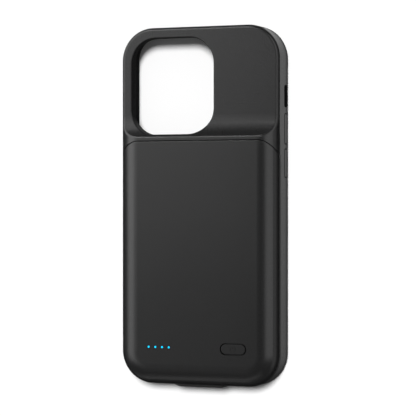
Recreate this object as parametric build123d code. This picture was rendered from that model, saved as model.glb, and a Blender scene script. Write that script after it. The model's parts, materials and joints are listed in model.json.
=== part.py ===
from build123d import *
from math import acos, cos, pi, radians, sin, tan
import os

# Battery charging case: a sleeve that a slim handheld device snaps into, with a cell in its back.
# Sizes are in millimetres. The empty sleeve lies on its front rim. X runs across the back, to the
# right as seen from behind. Y runs up the length. Z rises from the rim to the battery cover.

# Device that the pocket is made for
DEVICE_WIDTH = 70.6
DEVICE_LENGTH = 146.6
DEVICE_THICKNESS = 8.25
DEVICE_CORNER = 11.0
DEVICE_CLEARANCE = 0.2
DEVICE_HEADROOM = 0.15

# Bumper frame
SIDE_WALL = 1.65
TOP_WALL = 1.9
CHIN_LENGTH = 8.9
OUTER_CORNER = 14.5
LIP_THICKNESS = 0.9
LIP_OVERHANG = 1.2
LIP_ROUNDING = 0.35
RIM_ROUNDING = 2.0
PANEL_THICKNESS = 3.8
PANEL_EDGE_ROUNDING = 1.5
SHOULDER_BAND = 1.75
SCOOP_RADIUS = 15.0
RIDGE_ROUNDING = 1.5
RAMP_LEAD = 5.5

# Camera opening in the panel
CAMERA_MARGIN = 4.7
CAMERA_WIDTH = 39.2
CAMERA_HEIGHT = 42.75
CAMERA_CORNER = 11.5
CAMERA_FOOT = 2.85
CAMERA_EDGE_ROUNDING = 0.5

# Battery cover
COVER_DEPTH = 5.9
COVER_WALL = 1.2
BACK_ROUNDING = 9.0
BACK_SLOPE = 30.0
BACK_SLOPE_FLAT = 0.1
COVER_TOP_CORNER = 9.5
COVER_SIDE_REACH = 0.15
COVER_EDGE_ROUNDING = 0.45
SEAM_GAP = 0.2
SEAM_CHAMFER = 0.3
SEAM_LAND = 0.15

# Pocket floor
LINER_THICKNESS = 0.3
LINER_MARGIN = 0.3
PLATE_THICKNESS = 1.3
PLATE_LEDGE = 0.8
PLATE_CLEARANCE = 0.1

# Boss around the charging port, on the bottom edge
BOSS_DROP = 1.0
BOSS_WIDTH = 28.6
BOSS_FLAT = 17.7
BOSS_FRONT = 3.5
BOSS_BACK = 12.0
BOSS_ROOT = 1.8
BOSS_ROUNDING = 0.4

# Chin hollow and its walls
CHIN_HOLLOW_WIDTH = 27.0
CHIN_BOTTOM_WALL = 2.2
CHIN_TOP_WALL = 1.5
CHIN_FLOOR = 3.3
SOUND_SLOT_LENGTH = 10.0
SOUND_SLOT_HEIGHT = 1.8
SOUND_SLOT_PLACE = 21.5

# Plug that feeds the device, and charging socket
PLUG_WIDTH = 8.25
PLUG_HEIGHT = 2.4
PLUG_WALL = 0.3
PLUG_REACH = 6.5
PLUG_BASE_WIDTH = 12.0
PLUG_SLOT_GAP = 0.2
CONTACT_HEIGHT = 0.7
SOCKET_WIDTH = 8.94
SOCKET_HEIGHT = 3.2
SOCKET_WALL = 0.3
SOCKET_RECESS = 0.35
SOCKET_GAP = 0.2
TONGUE_WIDTH = 6.7
TONGUE_HEIGHT = 0.7
SOCKET_BACK_WALL = 0.8
BOARD_THICKNESS = 0.8
BOARD_GAP = 0.1
PLUG_BOARD_SIDE_GAP = 1.5
PLUG_BOARD_GAP = 0.2

# Main board
BOARD_SIDE_GAP = 5.75
BOARD_REACH = 5.7
BOARD_FOOT_GAP = 0.7
STANDOFF_HEIGHT = 0.6
STANDOFF_DIAMETER = 3.2
SCREW_DIAMETER = 1.3
SCREW_HEAD = 2.6
SCREW_HEAD_HEIGHT = 0.7
SCREW_CLEARANCE = 0.15
SCREW_THREAD_GAP = 0.05
SCREW_EDGE = 2.0
CHIP_SIZE = 4.6
CHIP_HEIGHT = 0.9
INDUCTOR_SIZE = 4.2
INDUCTOR_HEIGHT = 2.2
INDUCTOR_GAP = 0.5
CAPACITOR_LENGTH = 1.6
CAPACITOR_WIDTH = 0.8
CAPACITOR_COUNT = 6
CAPACITOR_PITCH = 2.4
CAPACITOR_GAP = 1.8

# Button and lights, on a line across the lower back; each inset runs from the nearer side to their middle
CONTROL_LINE = 16.5
BUTTON_INSET = 19.9
BUTTON_LENGTH = 11.4
BUTTON_WIDTH = 4.5
BUTTON_GAP = 0.45
BUTTON_TRAVEL = 0.4
BUTTON_RECESS = 0.05
BUTTON_FLANGE = 0.8
BUTTON_FLANGE_THICKNESS = 0.7
BUTTON_FLANGE_GAP = 0.05
BUTTON_EDGE_ROUNDING = 0.3
GLYPH_DIAMETER = 2.4
GLYPH_LINE = 0.3
GLYPH_DEPTH = 0.12
GLYPH_OPENING = 70.0
STEM_DIAMETER = 3.0
SWITCH_SIZE = 4.5
SWITCH_HEIGHT = 1.2
PLUNGER_DIAMETER = 2.2
PLUNGER_HEIGHT = 0.4
STEM_GAP = 0.05
LIGHT_COUNT = 4
LIGHT_PITCH = 3.21
LIGHT_INSET = 19.3
LIGHT_DIAMETER = 0.85
LIGHT_HOLE_GAP = 0.08
LIGHT_RECESS = 0.05
LED_LENGTH = 1.6
LED_WIDTH = 0.8
LED_HEIGHT = 0.6
GUIDE_WIDTH = 2.8
GUIDE_THICKNESS = 1.2
GUIDE_LED_GAP = 0.15
GUIDE_LEG = 1.0

# Cell
CELL_SIDE_GAP = 6.25
CELL_HEADROOM = 0.85
CELL_GAP_LOW = 5.0
CELL_GAP_HIGH = 2.6
CELL_EDGE_ROUNDING = 1.6
CELL_EDGE_LAND = 0.1
TAPE_THICKNESS = 0.15
TAPE_WIDTH = 10.0
TAPE_PLACE = 18.0
TAPE_END_GAP = 4.0
CELL_BOARD_WIDTH = 40.0
CELL_BOARD_LENGTH = 3.4
CELL_BOARD_GAP = 0.4
TAB_WIDTH = 4.0
TAB_PLACE = 12.0
TAB_THICKNESS = 0.15

# Ribbon from the plug board to the main board
FLEX_WIDTH = 6.0
FLEX_EDGE = 0.4
FLEX_THICKNESS = 0.15
FLEX_LAP = 2.0
FLEX_WALL_GAP = 0.5

# Side keys, placed from the top edge
KEY_HEIGHT = 2.8
KEY_LIFT = 4.4
KEY_GAP = 0.3
KEY_CORNER = 0.9
KEY_PROUD = 0.12
KEY_FLANGE = 0.7
KEY_FLANGE_THICKNESS = 0.5
KEY_POCKET_DEPTH = 0.75
KEY_EDGE_ROUNDING = 0.25
SWITCH_WINDOW_START = 26.1
SWITCH_WINDOW_LENGTH = 9.9
SWITCH_WINDOW_HEIGHT = 3.8
SWITCH_WINDOW_CORNER = 1.3
SWITCH_WINDOW_BAR = 2.8
VOLUME_UP_LENGTH = 13.1
VOLUME_BAR = 2.3
VOLUME_DOWN_LENGTH = 12.3
SIDE_KEY_START = 44.0
SIDE_KEY_LENGTH = 17.0

# Worked-out plan
pocket_width = DEVICE_WIDTH + 2 * DEVICE_CLEARANCE
pocket_length = DEVICE_LENGTH + 2 * DEVICE_CLEARANCE
pocket_corner = DEVICE_CORNER + DEVICE_CLEARANCE
body_width = pocket_width + 2 * SIDE_WALL
body_length = CHIN_LENGTH + pocket_length + TOP_WALL
body_low = (BOSS_DROP - body_length) / 2
body_high = body_low + body_length
pocket_low = body_low + CHIN_LENGTH
pocket_high = pocket_low + pocket_length
cover_high = body_high - CAMERA_MARGIN - CAMERA_HEIGHT - CAMERA_FOOT
control_y = body_low + CONTROL_LINE
button_x = body_width / 2 - BUTTON_INSET
light_x = LIGHT_INSET - body_width / 2

# Worked-out heights
pocket_back = LIP_THICKNESS + DEVICE_THICKNESS + DEVICE_HEADROOM
liner_back = pocket_back + LINER_THICKNESS
seam_z = liner_back + PLATE_THICKNESS
panel_z = liner_back + PANEL_THICKNESS
back_z = seam_z + COVER_DEPTH
bay_z = back_z - COVER_WALL
device_mid_z = LIP_THICKNESS + DEVICE_THICKNESS / 2

# Worked-out side keys, as distances of their upper ends from the top edge
volume_up_start = SWITCH_WINDOW_START + SWITCH_WINDOW_LENGTH + SWITCH_WINDOW_BAR
volume_down_start = volume_up_start + VOLUME_UP_LENGTH + VOLUME_BAR

# Worked-out shoulder: an arc that leaves the panel level and climbs to the back
shoulder_step = back_z - panel_z
scoop_angle = acos(1 - shoulder_step / SCOOP_RADIUS)
ridge_y = cover_high + SHOULDER_BAND
scoop_y = ridge_y + SCOOP_RADIUS * sin(scoop_angle)

# Worked-out rounding of the back: a wide arc, a short slope and a tighter arc down the side
slope_angle = radians(BACK_SLOPE)
slope_rise = 1 - cos(slope_angle)
side_reach = 1 - sin(slope_angle)
rounding_depth = COVER_DEPTH - SEAM_CHAMFER - SEAM_LAND
arcs_run = BACK_ROUNDING - BACK_SLOPE_FLAT * cos(slope_angle)
arcs_drop = rounding_depth - BACK_SLOPE_FLAT * sin(slope_angle)
side_radius = ((arcs_drop * sin(slope_angle) - arcs_run * slope_rise)
               / (sin(slope_angle) * cos(slope_angle) - slope_rise * side_reach))
crown_radius = (arcs_run - side_radius * side_reach) / sin(slope_angle)

# Worked-out boards
plug_base_low = body_low + CHIN_BOTTOM_WALL + PLUG_BOARD_GAP
plug_base_high = pocket_low - CHIN_TOP_WALL - PLUG_BOARD_GAP
plug_board_half = CHIN_HOLLOW_WIDTH / 2 - PLUG_BOARD_SIDE_GAP
plug_board_z = device_mid_z + PLUG_HEIGHT / 2 + BOARD_GAP
socket_z = plug_board_z + BOARD_THICKNESS + SOCKET_HEIGHT / 2
main_board_low = pocket_low + BOARD_FOOT_GAP
main_board_high = control_y + BOARD_REACH
main_board_half = body_width / 2 - BOARD_SIDE_GAP
main_board_z = seam_z + STANDOFF_HEIGHT
main_board_top = main_board_z + BOARD_THICKNESS
guide_half = LIGHT_PITCH * LIGHT_COUNT / 2 + GUIDE_LEG
chip_x = (light_x + guide_half + button_x - SWITCH_SIZE / 2) / 2
cell_low = main_board_high + CELL_GAP_LOW
cell_high = cover_high - COVER_WALL - CELL_GAP_HIGH

# Reach of the cutting forms past the outside
OUTSIDE = 20.0


def plan_block(width, low, high, corner, z_low, z_high):
    """Rounded rectangle in plan, centred across the width and raised from z_low to z_high."""
    plan = RectangleRounded(width, high - low, corner)
    return extrude(Pos(0, (low + high) / 2, z_low) * plan, amount=z_high - z_low)


def brick(x_low, x_high, y_low, y_high, z_low, z_high):
    """Plain block between two corners."""
    middle = Pos((x_low + x_high) / 2, (y_low + y_high) / 2, (z_low + z_high) / 2)
    return middle * Box(x_high - x_low, y_high - y_low, z_high - z_low)


def post(x, y, diameter, z_low, z_high):
    """Round post that stands on z_low."""
    return extrude(Pos(x, y, z_low) * Circle(diameter / 2), amount=z_high - z_low)


def slot_along_y(x, z, width, height, y_low, y_high):
    """Bar with round sides that runs along Y."""
    section = Plane((x, y_high, z), x_dir=(1, 0, 0), z_dir=(0, -1, 0))
    return extrude(section * SlotOverall(width, height), amount=y_high - y_low)


def pill_through_wall(y, z, length, height, corner, x_low, x_high):
    """Bar of rounded section that runs along X through a side wall."""
    section = Plane((x_low, y, z), x_dir=(0, 1, 0), z_dir=(1, 0, 0))
    return extrude(section * RectangleRounded(length, height, corner), amount=x_high - x_low)


def side_profile(points):
    """Prism across the whole width, from an outline of Y and Z points."""
    outline = Plane.YZ * make_face(Polyline(*points, close=True))
    return extrude(outline, amount=body_width, both=True)


def back_form(inset, z_low):
    """Pillow form of the thick back, shrunk by the inset on every side."""
    form = plan_block(body_width - 2 * inset, body_low + inset, body_high - inset,
                      OUTER_CORNER - inset, z_low, back_z - inset)
    crown = crown_radius - inset
    side = side_radius - inset
    across = BACK_ROUNDING - inset - crown * tan(slope_angle / 2)
    down = rounding_depth - inset - side * tan((pi / 2 - slope_angle) / 2)
    flat = form.faces().sort_by(Axis.Z)[-1]
    form = chamfer(flat.edges(), across, down, reference=flat)
    form = fillet(form.faces().sort_by(Axis.Z)[-1].edges(), crown)
    side_edges = [e for e in form.edges() if abs(e.center().Z - (back_z - inset - down)) < BACK_SLOPE_FLAT]
    return fillet(side_edges, side)


def cover_plan(grow, z_low):
    """Column over the battery cover's plan: open-ended below, with two top corners that cross the sides."""
    half = body_width / 2 + COVER_SIDE_REACH + grow
    high = cover_high + grow
    corner = COVER_TOP_CORNER + grow
    low = body_low - OUTSIDE
    column = brick(-half, half, low, high, z_low, back_z + OUTSIDE)
    top_corners = column.edges().filter_by(Axis.Z).sort_by(Axis.Y)[-2:]
    return fillet(top_corners, corner)


def scoop():
    """Cut above the panel, with the arc that climbs to the shoulder's ridge."""
    past_ridge = (scoop_angle + pi / 2) / 2
    start, middle, end = [(scoop_y - SCOOP_RADIUS * sin(angle), panel_z + SCOOP_RADIUS * (1 - cos(angle)))
                          for angle in (0, past_ridge / 2, past_ridge)]
    high = back_z + OUTSIDE
    far = body_high + OUTSIDE
    climb = ThreePointArc(start, middle, end)
    rest = Polyline(end, (end[0], high), (far, high), (far, panel_z), start)
    outline = Plane.YZ * make_face([climb, rest])
    return extrude(outline, amount=body_width, both=True)


def boss(grow):
    """Oval boss on the bottom edge, with ends that run out in S curves, grown by a margin."""
    half = BOSS_WIDTH / 2 + grow
    flat = BOSS_FLAT / 2 + grow
    tip = body_low - BOSS_DROP - grow
    root = body_low + BOSS_ROOT + grow
    turn = ((half + flat) / 2, (body_low + tip) / 2)
    right = [TangentArc((half, body_low), turn, tangent=(-1, 0)),
             TangentArc((flat, tip), turn, tangent=(1, 0))]
    left = [mirror(arc, about=Plane.YZ) for arc in right]
    foot = Line((flat, tip), (-flat, tip))
    back = Polyline((-half, body_low), (-half, root), (half, root), (half, body_low))
    profile = extrude(make_face([*right, foot, *left, back]), amount=back_z)
    oval = slot_along_y(0, (BOSS_FRONT + BOSS_BACK) / 2, BOSS_WIDTH + 2 * grow,
                        BOSS_BACK - BOSS_FRONT + 2 * grow, tip - OUTSIDE, root)
    return profile & oval


def rounded_boss():
    """Boss with its foot's edge rounded."""
    form = boss(0)
    foot_edges = form.faces().sort_by(Axis.Y)[0].edges().filter_by(Axis.X)
    return fillet(foot_edges, BOSS_ROUNDING)


def key_places():
    """Each side key: name, side, distance of its upper end from the top edge, length."""
    return (("volume_up_key", 1, volume_up_start, VOLUME_UP_LENGTH),
            ("volume_down_key", 1, volume_down_start, VOLUME_DOWN_LENGTH),
            ("side_key", -1, SIDE_KEY_START, SIDE_KEY_LENGTH))


def on_side(shape, side):
    """Right-hand shape as it is, or mirrored to the left wall."""
    return shape if side > 0 else mirror(shape, about=Plane.YZ)


def key_window(start, length):
    """Window for a key, with the wider recess for its flange on the pocket side."""
    y = body_high - start - length / 2
    window = pill_through_wall(y, KEY_LIFT, length + 2 * KEY_GAP, KEY_HEIGHT + 2 * KEY_GAP,
                               KEY_CORNER + KEY_GAP, 0, body_width / 2 + OUTSIDE)
    spread = 2 * (KEY_FLANGE + KEY_GAP)
    recess = pill_through_wall(y, KEY_LIFT, length + spread, KEY_HEIGHT + spread,
                               KEY_CORNER + KEY_GAP, 0, pocket_width / 2 + KEY_POCKET_DEPTH)
    return window + recess


def side_key(start, length):
    """Key cap in its window, with a flange behind the wall that keeps it in."""
    y = body_high - start - length / 2
    outer = body_width / 2 + KEY_PROUD
    flange_x = pocket_width / 2 + KEY_POCKET_DEPTH - BUTTON_FLANGE_GAP
    cap = pill_through_wall(y, KEY_LIFT, length, KEY_HEIGHT, KEY_CORNER, flange_x, outer)
    cap = fillet(cap.faces().sort_by(Axis.X)[-1].edges(), KEY_EDGE_ROUNDING)
    flange = pill_through_wall(y, KEY_LIFT, length + 2 * KEY_FLANGE, KEY_HEIGHT + 2 * KEY_FLANGE,
                               KEY_CORNER, flange_x - KEY_FLANGE_THICKNESS, flange_x)
    return cap + flange


def camera_middle():
    """Middle of the camera opening, in plan."""
    return CAMERA_MARGIN + CAMERA_WIDTH / 2 - body_width / 2, body_high - CAMERA_MARGIN - CAMERA_HEIGHT / 2


def camera_column(grow, z_low, z_high):
    """Column through the camera opening."""
    x, y = camera_middle()
    plan = RectangleRounded(CAMERA_WIDTH + 2 * grow, CAMERA_HEIGHT + 2 * grow, CAMERA_CORNER + grow)
    return extrude(Pos(x, y, z_low) * plan, amount=z_high - z_low)


def make_bumper_frame():
    """Side walls, lip, panel, shoulder and chin, moulded in one piece."""
    walls = plan_block(body_width, body_low, body_high, OUTER_CORNER, 0, panel_z)
    walls = fillet(walls.faces().sort_by(Axis.Z)[-1].edges(), PANEL_EDGE_ROUNDING)
    walls = fillet(walls.faces().sort_by(Axis.Z)[0].edges(), RIM_ROUNDING)
    far = body_low - OUTSIDE
    high = back_z + OUTSIDE
    walls -= side_profile([(far, seam_z), (cover_high - RAMP_LEAD, seam_z), (scoop_y, panel_z),
                           (scoop_y, high), (far, high)])
    rim_edges = [e for e in walls.edges() if abs(e.center().Z - seam_z) < SEAM_GAP
                 and e.center().Y < cover_high - RAMP_LEAD - SEAM_GAP]
    walls = chamfer(rim_edges, SEAM_CHAMFER)
    shoulder = back_form(0, liner_back)
    shoulder -= side_profile([(far, 0), (cover_high - COVER_TOP_CORNER, 0),
                              (cover_high - COVER_TOP_CORNER, high), (far, high)])
    shoulder -= side_profile([(scoop_y, 0), (body_high + OUTSIDE, 0),
                              (body_high + OUTSIDE, high), (scoop_y, high)])
    shoulder -= scoop()
    ridge = [e for e in shoulder.edges()
             if e.center().Z > panel_z + shoulder_step / 4 and e.center().Y > ridge_y - SHOULDER_BAND / 2]
    shoulder = fillet(ridge, RIDGE_ROUNDING)
    frame = walls + shoulder
    frame -= cover_plan(SEAM_GAP, seam_z)
    frame += rounded_boss()

    # Pocket, way in past the lip, ledge for the plate and camera opening
    frame -= plan_block(pocket_width, pocket_low, pocket_high, pocket_corner, LIP_THICKNESS, liner_back)
    frame -= plan_block(pocket_width - 2 * LIP_OVERHANG, pocket_low + LIP_OVERHANG,
                        pocket_high - LIP_OVERHANG, pocket_corner - LIP_OVERHANG,
                        -OUTSIDE, LIP_THICKNESS)
    lip_edges = frame.faces().sort_by(Axis.Z)[0].inner_wires()[0].edges()
    frame = fillet(lip_edges, LIP_ROUNDING)
    frame -= plate_plan(PLATE_CLEARANCE, liner_back, seam_z + SEAM_GAP)
    frame -= camera_column(0, LIP_THICKNESS, back_z + OUTSIDE)
    hole_x, hole_y = camera_middle()
    opening = [e for e in frame.edges() if e.center().Z > panel_z - SEAM_GAP
               and abs(e.center().X - hole_x) < CAMERA_WIDTH / 2 + SEAM_GAP
               and abs(e.center().Y - hole_y) < CAMERA_HEIGHT / 2 + SEAM_GAP]
    frame = fillet(opening, CAMERA_EDGE_ROUNDING)

    # Key windows and the open window for the device's switch
    for _, side, start, length in key_places():
        frame -= on_side(key_window(start, length), side)
    window_y = body_high - SWITCH_WINDOW_START - SWITCH_WINDOW_LENGTH / 2
    frame -= pill_through_wall(window_y, KEY_LIFT, SWITCH_WINDOW_LENGTH,
                               SWITCH_WINDOW_HEIGHT, SWITCH_WINDOW_CORNER, 0, body_width / 2 + OUTSIDE)

    # Chin hollow, plug and port openings, sound slots
    half = CHIN_HOLLOW_WIDTH / 2
    hollow_low = body_low + CHIN_BOTTOM_WALL
    hollow_high = pocket_low - CHIN_TOP_WALL
    frame -= brick(-half, half, hollow_low, hollow_high, CHIN_FLOOR, seam_z + OUTSIDE)
    frame -= slot_along_y(0, device_mid_z, PLUG_WIDTH + 2 * PLUG_SLOT_GAP,
                          PLUG_HEIGHT + 2 * PLUG_SLOT_GAP, hollow_low, pocket_low + CHIN_TOP_WALL)
    frame -= slot_along_y(0, socket_z, SOCKET_WIDTH + 2 * SOCKET_GAP,
                          SOCKET_HEIGHT + 2 * SOCKET_GAP, body_low - OUTSIDE, hollow_low)
    for x in (-SOUND_SLOT_PLACE, SOUND_SLOT_PLACE):
        frame -= slot_along_y(x, device_mid_z, SOUND_SLOT_LENGTH, SOUND_SLOT_HEIGHT,
                              body_low - OUTSIDE, pocket_low + CHIN_TOP_WALL)
    return frame


def plate_plan(grow, z_low, z_high):
    """Plan of the plate in front of the cell: the body's outline drawn in, cut off above the chin."""
    inset = SIDE_WALL - PLATE_LEDGE - grow
    low = pocket_low - PLATE_LEDGE - grow
    high = cover_high + grow
    whole = plan_block(body_width - 2 * inset, body_low + inset, body_high - inset,
                       OUTER_CORNER - inset, z_low, z_high)
    return whole & brick(-body_width, body_width, low, high, z_low, z_high)


def screw_places():
    """Middle of each board screw."""
    x = main_board_half - SCREW_EDGE
    return [(side * x, y) for side in (-1, 1)
            for y in (main_board_low + SCREW_EDGE, main_board_high - SCREW_EDGE)]


def make_mid_plate():
    """Floor between the pocket and the cell, with standoffs for the main board."""
    plate = plate_plan(0, liner_back, seam_z)
    for x, y in screw_places():
        plate += post(x, y, STANDOFF_DIAMETER, seam_z, main_board_z)
    for x, y in screw_places():
        plate -= post(x, y, SCREW_DIAMETER + 2 * SCREW_THREAD_GAP, liner_back, main_board_z)
    return plate


def make_pocket_liner():
    """Thin soft sheet that the device's back lies against."""
    sheet = plan_block(pocket_width - 2 * LINER_MARGIN, pocket_low + LINER_MARGIN,
                       pocket_high - LINER_MARGIN, pocket_corner - LINER_MARGIN,
                       pocket_back, liner_back)
    return sheet - camera_column(LINER_MARGIN, 0, back_z)


def button_plan(grow):
    """Outline of the button, grown by a margin."""
    return SlotOverall(BUTTON_LENGTH + 2 * grow, BUTTON_WIDTH + 2 * grow)


def light_places():
    """Middle of each indicator light across the back."""
    first = light_x - LIGHT_PITCH * (LIGHT_COUNT - 1) / 2
    return [first + LIGHT_PITCH * i for i in range(LIGHT_COUNT)]


def make_rear_cover():
    """Pillow-shaped cover over the cell."""
    outer = back_form(0, seam_z) & cover_plan(0, seam_z)
    slanting = outer.edges() - outer.edges().filter_by(Axis.Z)
    top_edges = [e for e in slanting
                 if e.center().Y > cover_high - COVER_TOP_CORNER / 2 and e.center().Z > seam_z + SEAM_GAP]
    outer = fillet(top_edges, COVER_EDGE_ROUNDING)
    foot_edges = outer.faces().sort_by(Axis.Z)[0].edges()
    outer = chamfer(foot_edges, SEAM_CHAMFER)
    inner = back_form(COVER_WALL, seam_z) & cover_plan(-COVER_WALL, seam_z)
    cover = outer - inner - boss(SEAM_GAP)
    cover -= extrude(Pos(button_x, control_y, bay_z) * button_plan(BUTTON_GAP), amount=OUTSIDE)
    for x in light_places():
        cover -= post(x, control_y, LIGHT_DIAMETER + 2 * LIGHT_HOLE_GAP, bay_z, back_z + OUTSIDE)
    return cover


def power_glyph(top):
    """Shallow ring, open at its top, with a bar in the opening."""
    radius = GLYPH_DIAMETER / 2
    start = 90 + GLYPH_OPENING / 2
    spine = CenterArc((0, 0), radius, start, 360 - GLYPH_OPENING)
    ring = trace(spine, GLYPH_LINE)
    bar = trace(Line((0, 0), (0, radius)), GLYPH_LINE)
    place = Pos(button_x, control_y, top - GLYPH_DEPTH)
    return extrude(place * ring, amount=OUTSIDE) + extrude(place * bar, amount=OUTSIDE)


def make_power_button():
    """Stadium cap with a flange under the cover and a stem over the switch."""
    top = back_z - BUTTON_RECESS
    flange_top = bay_z - BUTTON_FLANGE_GAP
    flange_low = flange_top - BUTTON_FLANGE_THICKNESS
    stem_low = main_board_top + SWITCH_HEIGHT + PLUNGER_HEIGHT + BUTTON_TRAVEL + STEM_GAP
    place = Pos(button_x, control_y, flange_low)
    cap = extrude(place * button_plan(0), amount=top - flange_low)
    cap = fillet(cap.faces().sort_by(Axis.Z)[-1].edges(), BUTTON_EDGE_ROUNDING)
    flange = extrude(place * button_plan(BUTTON_FLANGE), amount=BUTTON_FLANGE_THICKNESS)
    stem = post(button_x, control_y, STEM_DIAMETER, stem_low, flange_low)
    return cap + flange + stem - power_glyph(top)


def make_power_switch():
    """Small tact switch under the button."""
    half = SWITCH_SIZE / 2
    case_top = main_board_top + SWITCH_HEIGHT
    case = brick(button_x - half, button_x + half, control_y - half, control_y + half,
                 main_board_top, case_top)
    return case + post(button_x, control_y, PLUNGER_DIAMETER, case_top, case_top + PLUNGER_HEIGHT)


def make_indicator_leds():
    """Row of lamps on the main board."""
    return [brick(x - LED_LENGTH / 2, x + LED_LENGTH / 2, control_y - LED_WIDTH / 2,
                  control_y + LED_WIDTH / 2, main_board_top, main_board_top + LED_HEIGHT)
            for x in light_places()]


def make_light_guide():
    """Clear bar over the lamps, with a pin into each hole of the cover and a leg at each end."""
    bar_low = main_board_top + LED_HEIGHT + GUIDE_LED_GAP
    y_low = control_y - GUIDE_WIDTH / 2
    y_high = control_y + GUIDE_WIDTH / 2
    left = light_x - guide_half
    right = light_x + guide_half
    guide = brick(left, right, y_low, y_high, bar_low, bar_low + GUIDE_THICKNESS)
    guide += brick(left, left + GUIDE_LEG, y_low, y_high, main_board_top, bar_low)
    guide += brick(right - GUIDE_LEG, right, y_low, y_high, main_board_top, bar_low)
    for x in light_places():
        guide += post(x, control_y, LIGHT_DIAMETER, bar_low, back_z - LIGHT_RECESS)
    return guide


def make_main_board():
    """Charging board, screwed to the plate."""
    half = main_board_half
    board = brick(-half, half, main_board_low, main_board_high, main_board_z, main_board_top)
    for x, y in screw_places():
        board -= post(x, y, SCREW_DIAMETER + 2 * SCREW_CLEARANCE, main_board_z, main_board_top)
    return board


def make_board_screws():
    """Pan-head screws through the board into the plate."""
    screws = []
    for x, y in screw_places():
        shank = post(x, y, SCREW_DIAMETER, liner_back + SCREW_THREAD_GAP, main_board_top)
        head = post(x, y, SCREW_HEAD, main_board_top, main_board_top + SCREW_HEAD_HEIGHT)
        screws.append(shank + head)
    return screws


def make_control_chip():
    """Charge controller, halfway between the lights and the switch."""
    half = CHIP_SIZE / 2
    return brick(chip_x - half, chip_x + half, control_y - half, control_y + half,
                 main_board_top, main_board_top + CHIP_HEIGHT)


def make_power_inductors():
    """Pair of square inductors beside the controller."""
    half = INDUCTOR_SIZE / 2
    step = CHIP_SIZE / 2 + INDUCTOR_GAP + half
    coils = []
    for x in (chip_x - step, chip_x + step):
        block = brick(x - half, x + half, control_y - half, control_y + half,
                      main_board_top, main_board_top + INDUCTOR_HEIGHT)
        coils.append(fillet(block.edges().filter_by(Axis.Z), half / 2))
    return coils


def make_filter_capacitors():
    """Row of small capacitors along the board's upper edge."""
    first = chip_x - CAPACITOR_PITCH * (CAPACITOR_COUNT - 1) / 2
    y_low = control_y + INDUCTOR_SIZE / 2 + CAPACITOR_GAP
    return [brick(x - CAPACITOR_LENGTH / 2, x + CAPACITOR_LENGTH / 2, y_low, y_low + CAPACITOR_WIDTH,
                  main_board_top, main_board_top + CAPACITOR_WIDTH)
            for x in (first + CAPACITOR_PITCH * i for i in range(CAPACITOR_COUNT))]


def make_battery_cell():
    """Sealed pouch cell with rounded edges."""
    half = body_width / 2 - CELL_SIDE_GAP
    cell_z = seam_z + TAPE_THICKNESS
    cell_top = bay_z - CELL_HEADROOM
    pouch = brick(-half, half, cell_low, cell_high, cell_z, cell_top)
    long_edges = pouch.edges().filter_by(Axis.Y) + pouch.edges().filter_by(Axis.Z)
    rounding = min(CELL_EDGE_ROUNDING, (cell_top - cell_z) / 2 - CELL_EDGE_LAND)
    return fillet(long_edges, rounding)


def make_cell_tapes():
    """Two strips of tape that hold the cell on the plate."""
    half = TAPE_WIDTH / 2
    return [brick(x - half, x + half, cell_low + TAPE_END_GAP, cell_high - TAPE_END_GAP,
                  seam_z, seam_z + TAPE_THICKNESS)
            for x in (-TAPE_PLACE, TAPE_PLACE)]


def make_cell_board():
    """Protection board at the lower end of the cell, on the plate."""
    half = CELL_BOARD_WIDTH / 2
    high = cell_low - CELL_BOARD_GAP
    return brick(-half, half, high - CELL_BOARD_LENGTH, high, seam_z, seam_z + BOARD_THICKNESS)


def make_cell_tabs():
    """Metal strips from the cell onto its protection board."""
    half = TAB_WIDTH / 2
    z_low = seam_z + BOARD_THICKNESS
    y_low = cell_low - CELL_BOARD_GAP - CELL_BOARD_LENGTH / 2
    return [brick(x - half, x + half, y_low, cell_low, z_low, z_low + TAB_THICKNESS)
            for x in (-TAB_PLACE, TAB_PLACE)]


def make_plug_board():
    """Small board in the chin between the plug and the socket."""
    half = plug_board_half
    return brick(-half, half, plug_base_low, plug_base_high, plug_board_z, plug_board_z + BOARD_THICKNESS)


def make_output_plug():
    """Plug shell that stands up into the pocket, on a moulded base in the chin."""
    half = PLUG_BASE_WIDTH / 2
    base = brick(-half, half, plug_base_low, plug_base_high, CHIN_FLOOR, plug_board_z)
    shell = slot_along_y(0, device_mid_z, PLUG_WIDTH, PLUG_HEIGHT, plug_base_high, pocket_low + PLUG_REACH)
    mouth = slot_along_y(0, device_mid_z, PLUG_WIDTH - 2 * PLUG_WALL, PLUG_HEIGHT - 2 * PLUG_WALL,
                         pocket_low, pocket_low + PLUG_REACH)
    return base + shell - mouth


def make_plug_contacts():
    """Contact strips inside the plug's mouth, one above and one below."""
    half = (PLUG_WIDTH - PLUG_HEIGHT) / 2
    inner = PLUG_HEIGHT / 2 - PLUG_WALL
    thickness = (2 * inner - CONTACT_HEIGHT) / 2
    strips = []
    for z_low in (device_mid_z - inner, device_mid_z + inner - thickness):
        strips.append(brick(-half, half, pocket_low, pocket_low + PLUG_REACH - PLUG_WALL,
                            z_low, z_low + thickness))
    return strips


def socket_ends():
    """Mouth and back of the charging socket along Y."""
    return body_low - BOSS_DROP + SOCKET_RECESS, plug_base_high


def make_input_socket():
    """Charging socket's metal shell on the plug board."""
    mouth, back = socket_ends()
    shell = slot_along_y(0, socket_z, SOCKET_WIDTH, SOCKET_HEIGHT, mouth, back)
    return shell - slot_along_y(0, socket_z, SOCKET_WIDTH - 2 * SOCKET_WALL,
                                SOCKET_HEIGHT - 2 * SOCKET_WALL, mouth, back - SOCKET_BACK_WALL)


def make_socket_tongue():
    """Tongue in the middle of the socket."""
    mouth, back = socket_ends()
    half = TONGUE_WIDTH / 2
    return brick(-half, half, mouth + SOCKET_BACK_WALL, back - SOCKET_BACK_WALL,
                 socket_z - TONGUE_HEIGHT / 2, socket_z + TONGUE_HEIGHT / 2)


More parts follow.
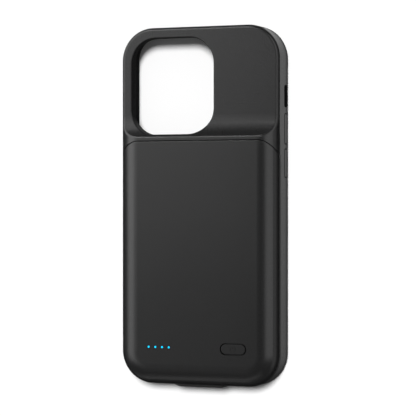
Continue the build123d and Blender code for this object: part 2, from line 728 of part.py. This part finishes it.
def make_flex_cable():
    """Ribbon that leaves the plug board, climbs past the chin wall and lies on the main board."""
    low = plug_board_z + BOARD_THICKNESS
    rise = plug_base_high - FLEX_WALL_GAP
    inner = rise - FLEX_THICKNESS
    top = main_board_top + FLEX_THICKNESS
    end = main_board_low + FLEX_LAP
    foot = inner - FLEX_LAP
    outline = Polyline((foot, low), (rise, low), (rise, main_board_top), (end, main_board_top), (end, top),
                       (inner, top), (inner, low + FLEX_THICKNESS), (foot, low + FLEX_THICKNESS),
                       close=True)
    section = Plane((FLEX_EDGE - plug_board_half, 0, 0), x_dir=(0, 1, 0), z_dir=(1, 0, 0))
    return extrude(section * make_face(outline), amount=FLEX_WIDTH)


def save(shape, name):
    """Write one node, as a solid or as a group of separate solids."""
    group = Compound(children=list(shape)) if isinstance(shape, list) else shape
    export_step(group, f"parts/{name}.step")


os.makedirs("parts", exist_ok=True)
save(make_bumper_frame(), "bumper_frame")
save(make_mid_plate(), "mid_plate")
save(make_pocket_liner(), "pocket_liner")
save(make_rear_cover(), "rear_cover")
save(make_power_button(), "power_button")
save(make_power_switch(), "power_switch")
save(make_indicator_leds(), "indicator_leds")
save(make_light_guide(), "light_guide")
save(make_main_board(), "main_board")
save(make_board_screws(), "board_screws")
save(make_control_chip(), "control_chip")
save(make_power_inductors(), "power_inductors")
save(make_filter_capacitors(), "filter_capacitors")
save(make_battery_cell(), "battery_cell")
save(make_cell_tapes(), "cell_tapes")
save(make_cell_board(), "cell_board")
save(make_cell_tabs(), "cell_tabs")
save(make_plug_board(), "plug_board")
save(make_output_plug(), "output_plug")
save(make_plug_contacts(), "plug_contacts")
save(make_input_socket(), "input_socket")
save(make_socket_tongue(), "socket_tongue")
save(make_flex_cable(), "flex_cable")
for name, side, start, length in key_places():
    save(on_side(side_key(start, length), side), name)
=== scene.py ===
import json
import math
import bpy
from mathutils import Matrix, Vector


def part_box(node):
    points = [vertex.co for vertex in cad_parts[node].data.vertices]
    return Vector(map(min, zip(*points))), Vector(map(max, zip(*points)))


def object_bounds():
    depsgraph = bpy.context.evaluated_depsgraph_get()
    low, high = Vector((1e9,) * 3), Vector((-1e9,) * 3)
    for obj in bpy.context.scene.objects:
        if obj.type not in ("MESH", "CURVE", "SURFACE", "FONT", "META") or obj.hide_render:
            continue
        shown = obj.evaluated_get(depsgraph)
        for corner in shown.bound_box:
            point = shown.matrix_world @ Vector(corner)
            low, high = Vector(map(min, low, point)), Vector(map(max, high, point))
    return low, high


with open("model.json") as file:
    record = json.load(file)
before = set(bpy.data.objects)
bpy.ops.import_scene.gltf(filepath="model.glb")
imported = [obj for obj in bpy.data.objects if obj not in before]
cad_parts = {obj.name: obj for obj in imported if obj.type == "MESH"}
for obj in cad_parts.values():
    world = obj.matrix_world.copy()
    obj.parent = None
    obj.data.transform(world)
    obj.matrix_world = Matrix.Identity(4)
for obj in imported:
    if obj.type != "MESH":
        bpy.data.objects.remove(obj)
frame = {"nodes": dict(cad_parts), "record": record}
cad_low, cad_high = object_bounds()
nodes = frame["nodes"]
scene = bpy.context.scene
scene.view_settings.view_transform = "Standard"

MM = 0.001
X_AXIS = Vector((1, 0, 0))
Y_AXIS = Vector((0, 1, 0))
WHITE = (1, 1, 1, 1)
BLACK = (0, 0, 0, 1)

# Range that holds most of a noise texture's values
NOISE_LOW = 0.3
NOISE_HIGH = 0.7


# Node helpers
def start_material(name):
    """New material, its node tree and its principled shader."""
    material = bpy.data.materials.new(name)
    material.use_nodes = True
    tree = material.node_tree
    tree.nodes.clear()
    shader = tree.nodes.new("ShaderNodeBsdfPrincipled")
    output = tree.nodes.new("ShaderNodeOutputMaterial")
    tree.links.new(shader.outputs["BSDF"], output.inputs["Surface"])
    return material, tree, shader


def split_axes(tree, coordinates):
    """X, Y and Z of one kind of texture coordinates."""
    place = tree.nodes.new("ShaderNodeTexCoord")
    node = tree.nodes.new("ShaderNodeSeparateXYZ")
    tree.links.new(place.outputs[coordinates], node.inputs["Vector"])
    return node.outputs


def noise(tree, feature, detail=2.0, stretch=(1, 1, 1)):
    """Noise over the object, with features of the given size in metres."""
    place = tree.nodes.new("ShaderNodeTexCoord")
    mapping = tree.nodes.new("ShaderNodeMapping")
    mapping.inputs["Scale"].default_value = stretch
    texture = tree.nodes.new("ShaderNodeTexNoise")
    texture.inputs["Scale"].default_value = 1 / feature
    texture.inputs["Detail"].default_value = detail
    tree.links.new(place.outputs["Object"], mapping.inputs["Vector"])
    tree.links.new(mapping.outputs["Vector"], texture.inputs["Vector"])
    return texture.outputs["Fac"]


def map_range(tree, value, low, high, first, second, interpolation):
    """Value that goes from first to second as another goes from low to high."""
    node = tree.nodes.new("ShaderNodeMapRange")
    node.interpolation_type = interpolation
    node.inputs["From Min"].default_value = low
    node.inputs["From Max"].default_value = high
    node.inputs["To Min"].default_value = first
    node.inputs["To Max"].default_value = second
    tree.links.new(value, node.inputs["Value"])
    return node.outputs["Result"]


def spread(tree, texture, first, second):
    """Noise spread evenly over first to second."""
    return map_range(tree, texture, NOISE_LOW, NOISE_HIGH, first, second, "LINEAR")


def smooth_step(tree, value, low, high, first, second):
    """Value that goes smoothly from first to second as another goes from low to high."""
    return map_range(tree, value, low, high, first, second, "SMOOTHSTEP")


def combine(tree, operation, first, second):
    """Two values joined by an operation."""
    node = tree.nodes.new("ShaderNodeMath")
    node.operation = operation
    tree.links.new(first, node.inputs[0])
    tree.links.new(second, node.inputs[1])
    return node.outputs["Value"]


def blend_colour(tree, value, first, second):
    """Colour between two others, by a value from 0 to 1."""
    node = tree.nodes.new("ShaderNodeMix")
    node.data_type = "RGBA"
    node.inputs["A"].default_value = (*first, 1)
    node.inputs["B"].default_value = (*second, 1)
    tree.links.new(value, node.inputs["Factor"])
    return node.outputs["Result"]


def scaled(colour, factor):
    """Colour made darker or lighter by a factor."""
    return [min(1.0, channel * factor) for channel in colour]


def mottle(tree, shader, texture, dark, light):
    """Base colour that varies between two colours with a noise."""
    shade = spread(tree, texture, 0.0, 1.0)
    tree.links.new(blend_colour(tree, shade, dark, light), shader.inputs["Base Color"])


def bump(tree, shader, height, depth):
    """Bump of the given depth in metres on a shader."""
    node = tree.nodes.new("ShaderNodeBump")
    node.inputs["Distance"].default_value = depth
    tree.links.new(height, node.inputs["Height"])
    tree.links.new(node.outputs["Normal"], shader.inputs["Normal"])


# Soft-touch paint, and painted shade on the sides of the button and the keys: near-black and rough,
# standing in for the shade in the groove round them
BLACK_PAINT = (0.009, 0.009, 0.0092)
PAINT_GRAIN = 0.16 * MM
PAINT_DEPTH = 0.006 * MM
GROOVE_SHADE_BLACK = (0.002, 0.002, 0.002)
GROOVE_SHADE_ROUGHNESS = 0.95

# The soft-touch paint gives way to the painted shade as the surface turns away from the face; these are
# the cosines of that turn
SHADE_BELOW = 0.94
COAT_ABOVE = 0.99


# Kinds of material
def tinted(name, colour, vary, feature, roughness, rough_vary, grain, depth, metallic=0.0,
           stretch=(1, 1, 1)):
    """Material with slow colour variation, uneven roughness and a fine grain."""
    material, tree, shader = start_material(name)
    slow = noise(tree, feature, detail=3.0, stretch=stretch)
    mottle(tree, shader, slow, scaled(colour, 1 - vary), scaled(colour, 1 + vary))
    fine = noise(tree, grain, stretch=stretch)
    rough = spread(tree, fine, roughness - rough_vary, roughness + rough_vary)
    tree.links.new(rough, shader.inputs["Roughness"])
    bump(tree, shader, fine, depth)
    shader.inputs["Metallic"].default_value = metallic
    return material


def soft_touch(name, colour, roughness):
    """Soft-touch paint on moulded plastic: a fine even grain."""
    return tinted(name, colour, vary=0.06, feature=18 * MM, roughness=roughness, rough_vary=0.03,
                  grain=PAINT_GRAIN, depth=PAINT_DEPTH)


def coat_with_shaded_sides(name, colour, roughness, axis):
    """Soft-touch paint on the face across an axis of the object, and painted shade on the sides:
    near-black and rough, for the dark groove round the piece.
    """
    material, tree, shader = start_material(name)
    facing = tree.nodes.new("ShaderNodeMath")
    facing.operation = "ABSOLUTE"
    tree.links.new(split_axes(tree, "Normal")[axis], facing.inputs[0])
    turn = facing.outputs["Value"]
    # Sides turned away from the face are painted near-black and rough: painted shade for the groove round
    # the button and keys
    painted = smooth_step(tree, turn, SHADE_BELOW, COAT_ABOVE, 0.0, 1.0)
    tree.links.new(blend_colour(tree, painted, GROOVE_SHADE_BLACK, colour), shader.inputs["Base Color"])
    rough = smooth_step(tree, turn, SHADE_BELOW, COAT_ABOVE, GROOVE_SHADE_ROUGHNESS, roughness)
    tree.links.new(rough, shader.inputs["Roughness"])
    bump(tree, shader, noise(tree, PAINT_GRAIN), PAINT_DEPTH)
    return material


def microfibre(name, colour):
    """Short pile: soft clumps over a fine fibre grain, with sheen."""
    material, tree, shader = start_material(name)
    clumps = noise(tree, feature=2.2 * MM, detail=3.0)
    mottle(tree, shader, clumps, scaled(colour, 0.75), scaled(colour, 1.3))
    fibres = noise(tree, feature=0.25 * MM, stretch=(1.0, 0.45, 1.0))
    bump(tree, shader, fibres, depth=0.06 * MM)
    shader.inputs["Roughness"].default_value = 0.95
    shader.inputs["Sheen Weight"].default_value = 0.35
    shader.inputs["Sheen Roughness"].default_value = 0.5
    return material


def glowing(name, colour, strength):
    """Clear light guide that is lit from below, a little uneven."""
    material, tree, shader = start_material(name)
    uneven = spread(tree, noise(tree, feature=0.8 * MM), 0.85 * strength, 1.1 * strength)
    tree.links.new(uneven, shader.inputs["Emission Strength"])
    shader.inputs["Emission Color"].default_value = (*colour, 1)
    shader.inputs["Base Color"].default_value = (*colour, 1)
    shader.inputs["Roughness"].default_value = 0.3
    shader.inputs["Specular IOR Level"].default_value = 0.2
    return material


# Materials by slot
slot_materials = {
    "frame_soft_touch": soft_touch("frame_soft_touch_look", BLACK_PAINT, roughness=0.28),
    "cover_soft_touch": soft_touch("cover_soft_touch_look", BLACK_PAINT, roughness=0.28),
    "plate_plastic": soft_touch("plate_plastic_look", (0.03, 0.03, 0.032), roughness=0.5),
    # The button and the keys carry painted shade on their sides, for the dark groove round them
    "button_rubber": coat_with_shaded_sides("button_rubber_look", BLACK_PAINT, roughness=0.3, axis="Z"),
    "key_plastic": coat_with_shaded_sides("key_plastic_look", BLACK_PAINT, roughness=0.28, axis="X"),
    "liner_microfibre": microfibre("liner_microfibre_look", (0.045, 0.045, 0.05)),
    "guide_clear": glowing("guide_clear_look", (0.001, 0.6, 1.0), strength=0.82),
    "lamp_lens": tinted("lamp_lens_look", (0.55, 0.8, 0.85), vary=0.05, feature=2 * MM,
                        roughness=0.3, rough_vary=0.05, grain=0.2 * MM, depth=0.002 * MM),
    "board_resin": tinted("board_resin_look", (0.02, 0.1, 0.05), vary=0.3, feature=1.2 * MM,
                          roughness=0.4, rough_vary=0.08, grain=0.3 * MM, depth=0.01 * MM),
    "chip_resin": tinted("chip_resin_look", (0.02, 0.02, 0.02), vary=0.1, feature=2 * MM,
                         roughness=0.5, rough_vary=0.06, grain=0.15 * MM, depth=0.01 * MM),
    "inductor_ferrite": tinted("inductor_ferrite_look", (0.12, 0.12, 0.12), vary=0.2, feature=1 * MM,
                               roughness=0.6, rough_vary=0.1, grain=0.2 * MM, depth=0.02 * MM),
    "capacitor_ceramic": tinted("capacitor_ceramic_look", (0.45, 0.34, 0.22), vary=0.1, feature=0.6 * MM,
                                roughness=0.4, rough_vary=0.1, grain=0.1 * MM, depth=0.01 * MM),
    "pouch_foil": tinted("pouch_foil_look", (0.7, 0.7, 0.71), vary=0.05, feature=12 * MM, metallic=1.0,
                         roughness=0.32, rough_vary=0.08, grain=3 * MM, depth=0.05 * MM),
    "tape_film": tinted("tape_film_look", (0.75, 0.75, 0.72), vary=0.04, feature=6 * MM,
                        roughness=0.5, rough_vary=0.1, grain=0.3 * MM, depth=0.01 * MM),
    "tab_nickel": tinted("tab_nickel_look", (0.66, 0.64, 0.6), vary=0.06, feature=2 * MM, metallic=1.0,
                         roughness=0.3, rough_vary=0.08, grain=0.1 * MM, depth=0.004 * MM,
                         stretch=(1, 8, 1)),
    "screw_steel": tinted("screw_steel_look", (0.55, 0.55, 0.56), vary=0.08, feature=1 * MM, metallic=1.0,
                          roughness=0.3, rough_vary=0.08, grain=0.1 * MM, depth=0.004 * MM),
    "shell_steel": tinted("shell_steel_look", (0.62, 0.62, 0.63), vary=0.06, feature=2 * MM, metallic=1.0,
                          roughness=0.26, rough_vary=0.06, grain=0.1 * MM, depth=0.004 * MM,
                          stretch=(6, 1, 6)),
    "contact_gold": tinted("contact_gold_look", (0.8, 0.62, 0.28), vary=0.06, feature=1 * MM, metallic=1.0,
                           roughness=0.25, rough_vary=0.05, grain=0.1 * MM, depth=0.003 * MM),
    "tongue_plastic": tinted("tongue_plastic_look", (0.02, 0.02, 0.02), vary=0.1, feature=1 * MM,
                             roughness=0.35, rough_vary=0.05, grain=0.1 * MM, depth=0.004 * MM),
    "flex_film": tinted("flex_film_look", (0.55, 0.28, 0.05), vary=0.1, feature=2 * MM,
                        roughness=0.3, rough_vary=0.06, grain=0.2 * MM, depth=0.004 * MM),
}
for row in frame["record"]["subparts"]:
    mesh = nodes[row["node"]].data
    mesh.materials.clear()
    mesh.materials.append(slot_materials[row["material_slot"]])


# Floor, a little below the rim, so that the two don't share a plane
FLOOR_REACH = 6.0
FLOOR_DROP = 0.02 * MM
FLOOR_DARK = (0.88, 0.88, 0.88)
FLOOR_LIGHT = (0.9, 0.9, 0.9)


def add_mesh(name, points, faces):
    """New mesh object in the scene."""
    mesh = bpy.data.meshes.new(name)
    mesh.from_pydata(points, [], faces)
    thing = bpy.data.objects.new(name, mesh)
    scene.collection.objects.link(thing)
    return thing


def make_floor():
    """Plain pale floor, large enough for every view, that reflections leave out."""
    ends = (-FLOOR_REACH, FLOOR_REACH)
    floor = add_mesh("floor", [(x, y, 0) for x in ends for y in ends], [(0, 2, 3, 1)])
    floor.location.z = -FLOOR_DROP
    material, tree, shader = start_material("floor_look")
    mottle(tree, shader, noise(tree, feature=0.5), FLOOR_DARK, FLOOR_LIGHT)
    shader.inputs["Roughness"].default_value = 0.9
    shader.inputs["Specular IOR Level"].default_value = 0.1
    floor.data.materials.append(material)
    floor.visible_glossy = False
    return floor


floor = make_floor()

# Glowing strip on the floor beside the right wall, set out from the corners of the sleeve's outline
OUTER_CORNER = 14.5 * MM
BOSS_DROP = 1.0 * MM
GLOW_NEAR = 0.83 * MM
GLOW_FAR = 7.7 * MM
GLOW_HEIGHT = 0.5 * MM
GLOW_REACH = math.radians(75)
GLOW_STEPS = 10


def make_floor_glow():
    """Low strip along the right wall and round its two corners, fainter towards the chin.

    Only reflections show it.
    """
    middle_x = cad_high[0] - OUTER_CORNER
    top_y = cad_high[1] - OUTER_CORNER
    chin_y = cad_low[1] + BOSS_DROP + OUTER_CORNER
    angles = [GLOW_REACH * step / GLOW_STEPS for step in range(GLOW_STEPS + 1)]
    rows = [(top_y, angle) for angle in reversed(angles)] + [(chin_y, -angle) for angle in angles]
    points = []
    for middle_y, angle in rows:
        for reach in (OUTER_CORNER + GLOW_NEAR, OUTER_CORNER + GLOW_FAR):
            x = middle_x + reach * math.cos(angle)
            y = middle_y + reach * math.sin(angle)
            points.append((x, y, GLOW_HEIGHT))
    faces = [(2 * i, 2 * i + 1, 2 * i + 3, 2 * i + 2) for i in range(len(rows) - 1)]
    glow = add_mesh("floor_glow", points, faces)
    material, tree, shader = start_material("floor_glow_look")
    along = split_axes(tree, "Object")["Y"]
    side = smooth_step(tree, along, low=-78 * MM, high=70 * MM, first=0.45, second=0.6)
    chin_fade = smooth_step(tree, along, low=-80 * MM, high=-63 * MM, first=0.1, second=1.0)
    top_corner = smooth_step(tree, along, low=66 * MM, high=80 * MM, first=0.0, second=0.15)
    faded = combine(tree, "MULTIPLY", side, chin_fade)
    tree.links.new(combine(tree, "ADD", faded, top_corner), shader.inputs["Emission Strength"])
    shader.inputs["Emission Color"].default_value = WHITE
    shader.inputs["Base Color"].default_value = BLACK
    shader.inputs["Specular IOR Level"].default_value = 0.0
    glow.data.materials.append(material)
    glow.visible_camera = False
    glow.visible_diffuse = False
    glow.visible_shadow = False


make_floor_glow()


# Collections that the lights reach
def receivers(name, objects):
    """Collection of the objects that a light reaches."""
    group = bpy.data.collections.new(name)
    for item in objects:
        group.objects.link(item)
    return group


on_floor = receivers("lit_floor", [floor])
on_object = receivers("lit_object", nodes.values())

# Beam of the narrow strips, in degrees, and the lines that they light
STRIP_BEAM = 14
TOP_EDGE_HEIGHT = 9 * MM
RIDGE_STEP = 1.2 * MM
top_edge = (0, cad_high[1], TOP_EDGE_HEIGHT)
ridge = (0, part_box("rear_cover")[1][1] + RIDGE_STEP, cad_high[2])

# Overhead panels, side by side above the left
OVERHEAD_LEFT = -0.42
OVERHEAD_RIGHT = -0.139
OVERHEAD_HEIGHT = 0.56


# Lights on the object
def area_light(name, width, length, radiance, beam=180):
    """Rectangular light that only the object receives. The beam is in degrees."""
    lamp = bpy.data.lights.new(name, "AREA")
    lamp.shape = "RECTANGLE"
    lamp.size = width
    lamp.size_y = length
    lamp.energy = radiance * math.pi * width * length
    lamp.spread = math.radians(beam)
    panel = bpy.data.objects.new(name, lamp)
    scene.collection.objects.link(panel)
    panel.visible_camera = False
    panel.light_linking.receiver_collection = on_object
    return panel


def leaning(across, along):
    """Direction that leans from straight up to +X by one angle and to +Y by another, in degrees."""
    a = math.radians(across)
    b = math.radians(along)
    return Vector((math.sin(a) * math.cos(b), math.sin(b), math.cos(a) * math.cos(b)))


def face_target(panel, target, towards, distance, side):
    """Put a panel at a distance from its target, turned to it, with its width along side."""
    panel.location = Vector(target) + towards * distance
    panel.rotation_euler = Matrix((side, towards.cross(side), towards)).transposed().to_euler()


def softbox(name, across, along, distance, width, length, radiance, target=(0, 0, 0), beam=180):
    """Soft panel over a target, with its width level."""
    panel = area_light(name, width, length, radiance, beam)
    towards = leaning(across, along)
    face_target(panel, target, towards, distance, Y_AXIS.cross(towards).normalized())


def edge_strip(name, across, along, distance, width, length, radiance, target, beam):
    """Strip with a narrow beam that falls on a line along X through the target."""
    panel = area_light(name, width, length, radiance, beam)
    towards = leaning(across, along)
    face_target(panel, target, towards, distance, (X_AXIS - towards * towards.x).normalized())


def overhead_panel(name, y_low, y_high, radiance):
    """Soft level panel that faces down."""
    panel = area_light(name, OVERHEAD_RIGHT - OVERHEAD_LEFT, y_high - y_low, radiance)
    panel.location = ((OVERHEAD_LEFT + OVERHEAD_RIGHT) / 2, (y_low + y_high) / 2, OVERHEAD_HEIGHT)


softbox("left_panel", across=-51, along=21.9, distance=0.9, width=0.5, length=0.8, radiance=2.9)
softbox("left_low_panel", across=-51, along=-11, distance=1.0, width=0.5, length=0.3, radiance=1.95)
softbox("right_panel", across=27, along=14, distance=0.9, width=0.46, length=1.0, radiance=1.55)
softbox("right_low_panel", across=58, along=0, distance=0.9, width=0.5, length=1.3, radiance=0.45)
softbox("front_strip", across=-37, along=-54.5, distance=0.9, width=1.2, length=0.09, radiance=1.15)
softbox("top_strip", across=-26, along=35, distance=0.1, width=0.3, length=0.03, radiance=0.12,
        target=top_edge, beam=STRIP_BEAM)
edge_strip("ridge_strip", across=-21.5, along=32, distance=0.05, width=0.3, length=0.004, radiance=0.17,
           target=ridge, beam=STRIP_BEAM)
overhead_panel("front_panel", y_low=-0.44, y_high=-0.03, radiance=0.22)
overhead_panel("near_panel", y_low=-0.03, y_high=0.12, radiance=1.0)
overhead_panel("far_panel", y_low=0.12, y_high=0.44, radiance=1.36)


# Light on the floor
WASH_ENERGY = 3.35
WASH_SOFTNESS = math.radians(16)
WASH_ACROSS = math.radians(12)
WASH_ALONG = math.radians(14)


def make_floor_wash():
    """Soft sun that only the floor receives."""
    sun = bpy.data.lights.new("floor_wash", "SUN")
    sun.energy = WASH_ENERGY
    sun.angle = WASH_SOFTNESS
    wash = bpy.data.objects.new("floor_wash", sun)
    scene.collection.objects.link(wash)
    wash.location = (math.tan(WASH_ACROSS), math.tan(WASH_ALONG), 1)
    wash.rotation_euler = (-wash.location).to_track_quat("-Z", "Y").to_euler()
    wash.light_linking.receiver_collection = on_floor


make_floor_wash()


# World
def make_room():
    """Dim room, darker below, with a pale patch low on the right and one below the horizon behind."""
    world = bpy.data.worlds.new("room")
    scene.world = world
    world.use_nodes = True
    tree = world.node_tree
    background = tree.nodes["Background"]
    direction = split_axes(tree, "Generated")
    room = smooth_step(tree, direction["Z"], low=-0.15, high=0.1, first=0.03, second=0.15)
    below = smooth_step(tree, direction["Z"], low=-0.3, high=-0.05, first=0.35, second=0.0)
    behind = smooth_step(tree, direction["Y"], low=0.3, high=0.6, first=0.0, second=1.0)
    back_patch = combine(tree, "MULTIPLY", below, behind)
    above = smooth_step(tree, direction["Z"], low=-0.1, high=0.05, first=0.0, second=0.2)
    not_high = smooth_step(tree, direction["Z"], low=0.4, high=0.7, first=1.0, second=0.0)
    rightward = smooth_step(tree, direction["X"], low=0.3, high=0.75, first=0.0, second=1.0)
    right_patch = combine(tree, "MULTIPLY", combine(tree, "MULTIPLY", above, not_high), rightward)
    patches = combine(tree, "ADD", back_patch, right_patch)
    tree.links.new(combine(tree, "ADD", room, patches), background.inputs["Strength"])
    background.inputs["Color"].default_value = WHITE


make_room()

# Camera, fitted to the photograph
IMAGE_SIZE = 416
FOCAL_PIXELS = 1792
SENSOR_WIDTH = 36
YAW = math.radians(21.5)
PITCH = math.radians(0.3)
DISTANCE = 792 * MM
SIDE_STEP = 2.14 * MM
AIM_POINT = Vector((0, 3.625, 8.4)) * MM


def make_camera():
    """Camera that looks down on the back from above its right side."""
    lens = bpy.data.cameras.new("camera")
    lens.sensor_width = SENSOR_WIDTH
    lens.lens = FOCAL_PIXELS / IMAGE_SIZE * SENSOR_WIDTH
    lens.clip_start = 0.01
    lens.clip_end = 50
    towards = Vector((math.sin(YAW), 0, math.cos(YAW)))
    right = Vector((math.cos(YAW), 0, -math.sin(YAW)))
    back = towards * math.cos(PITCH) + Y_AXIS * math.sin(PITCH)
    place = AIM_POINT + right * SIDE_STEP + towards * DISTANCE
    turn = Matrix((right, back.cross(right), back)).transposed()
    camera = bpy.data.objects.new("camera", lens)
    camera.matrix_world = Matrix.Translation(place) @ turn.to_4x4()
    scene.collection.objects.link(camera)
    scene.camera = camera


make_camera()
